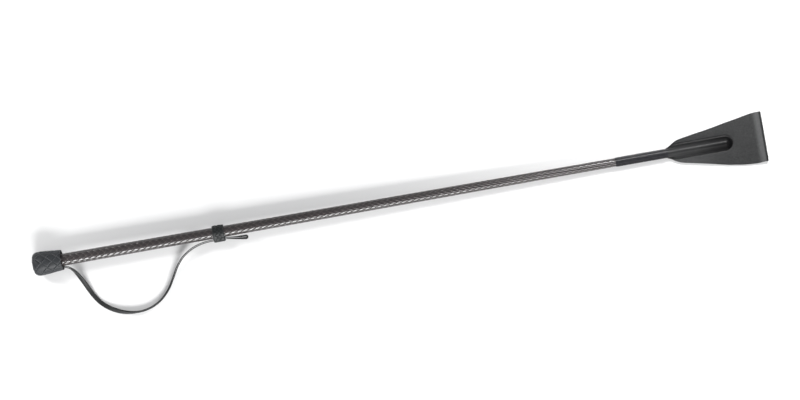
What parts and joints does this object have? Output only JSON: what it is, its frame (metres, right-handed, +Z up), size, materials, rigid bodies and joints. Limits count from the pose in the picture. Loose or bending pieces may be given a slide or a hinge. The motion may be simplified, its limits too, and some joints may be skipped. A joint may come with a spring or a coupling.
{
  "type": "riding crop",
  "caption": "Straight riding crop: woven leather knob, tapered plaited shaft, wrist loop with a sliding ring, thread binding and a folded leather keeper.",
  "frame": {"origin": "on the surface the crop lies on, under the middle of its length", "axes": "+X along the crop from the knob to the keeper, +Z up from the surface; the shaft's axis slopes down by 0.64 degrees to +X, because the knob is thicker than the keeper"},
  "size_m": [0.6501, 0.0799, 0.021],
  "materials": {
    "glass_fibre": "drawn resin",
    "plaited_leather": "glossy, waxed",
    "knob_wood": "turned, bare",
    "knob_leather": "matte",
    "lace_leather": "satin",
    "slider_leather": "matte",
    "binding_thread": "waxed",
    "keeper_leather": "matte, fine grain",
    "seam_thread": "waxed"
  },
  "bodies": {
    "root": {"core_rod": "glass_fibre", "shaft_plait": "plaited_leather", "knob_core": "knob_wood", "knob_cover": "knob_leather", "wrist_lace_inner": "lace_leather", "wrist_lace_outer": "lace_leather", "keeper_binding": "binding_thread", "keeper_back": "keeper_leather", "keeper_front": "keeper_leather", "keeper_seam_front": "seam_thread", "keeper_seam_back": "seam_thread"},
    "slider": {"slider_ring": "slider_leather", "wrist_lace_tail": "lace_leather"},
    "flap": {"keeper_flap": "keeper_leather"}
  },
  "joints": [
    {"name": "slider_slide", "type": "slide", "parent": "root", "child": "slider", "axis": [0.9999, 0, -0.0112], "range_m": [-0.06, 0.045], "deforming": ["wrist_lace_inner", "wrist_lace_outer"]},
    {"name": "flap_bend", "type": "hinge", "parent": "root", "child": "flap", "pos_m": [0.2995, 0, 0.00137], "axis": [0, 1, 0], "range_deg": [-40, 40], "stiffness_Nm_per_rad": 0.01}
  ]
}
